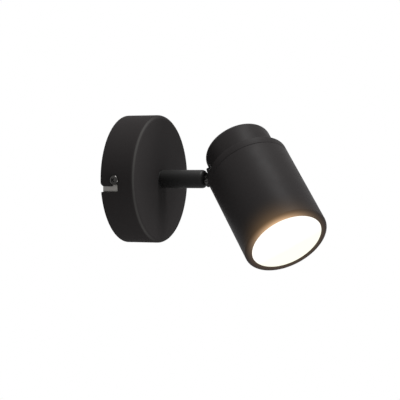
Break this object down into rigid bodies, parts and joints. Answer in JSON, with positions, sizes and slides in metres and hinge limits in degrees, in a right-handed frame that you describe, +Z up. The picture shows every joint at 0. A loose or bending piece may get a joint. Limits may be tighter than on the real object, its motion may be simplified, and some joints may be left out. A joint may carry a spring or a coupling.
{
  "type": "pivoting spotlight wall light",
  "caption": "Pivoting wall spotlight: round canopy, short swivel arm, cylindrical head on a tilt hinge, lamp, wiring and wall bracket.",
  "frame": {"origin": "centre of the canopy's back, on the wall's face", "axes": "+Z up, +Y into the wall, the light stands out towards -Y, +X to the right seen from the room"},
  "size_m": [0.0916, 0.1422, 0.0994],
  "materials": {
    "black_coat": "matt black powder coat, fine texture",
    "hinge_black": "black, semi-gloss",
    "dark_nickel": "black nickel plate, bright",
    "zinc_steel": "bright zinc plate",
    "brass_fittings": "plain brass",
    "tinned_copper": "tinned",
    "black_fibre": "matt fibre",
    "black_nylon": "moulded nylon",
    "block_plastic": "moulded, satin",
    "brown_insulation": "silicone insulation",
    "blue_insulation": "silicone insulation",
    "earth_insulation": "green and yellow insulation",
    "lead_insulation": "silicone insulation",
    "lamp_body": "moulded lamp housing, satin",
    "lamp_lens": "opal, lit, nearly flat",
    "lamp_pins": "nickelled",
    "holder_ceramic": "unglazed steatite"
  },
  "bodies": {
    "wall_base": {"canopy": "black_coat", "wall_bracket": "zinc_steel", "seat_washer": "black_fibre", "stop_stud": "black_coat", "earth_screw": "brass_fittings", "earth_ring": "tinned_copper", "canopy_screws": "dark_nickel", "terminal_block": "block_plastic", "terminal_screws": "zinc_steel", "swivel_bush": "black_nylon", "live_lead": "brown_insulation", "neutral_lead": "blue_insulation", "earth_lead": "earth_insulation"},
    "arm": {"arm_tube": "black_coat", "arm_nipple": "zinc_steel", "stop_washer": "zinc_steel", "spring_washer": "zinc_steel", "swivel_nut": "zinc_steel", "hinge_tongue": "hinge_black", "arm_leads": "lead_insulation"},
    "head": {"hinge_bracket": "hinge_black", "hinge_rivets": "dark_nickel", "pivot_screw": "dark_nickel", "rear_cap": "black_coat", "rear_cover": "black_coat", "cover_screws": "zinc_steel", "head_body": "black_coat", "lamp_ring": "zinc_steel", "lamp_housing": "lamp_body", "lamp_lens": "lamp_lens", "lamp_pins": "lamp_pins", "lamp_holder": "holder_ceramic", "holder_contacts": "brass_fittings", "holder_strap": "zinc_steel", "strap_screws": "zinc_steel", "head_live_lead": "brown_insulation", "head_neutral_lead": "blue_insulation"}
  },
  "joints": [
    {"name": "arm_swivel", "type": "hinge", "parent": "wall_base", "child": "arm", "pos_m": [0, -0.0237, 0], "axis": [0, 1, 0], "range_deg": [-194, 132]},
    {"name": "head_tilt", "type": "hinge", "parent": "arm", "child": "head", "pos_m": [-0.0017, -0.0575, -0.00283], "axis": [0.8572, 0, -0.515], "range_deg": [-3, 75]}
  ]
}
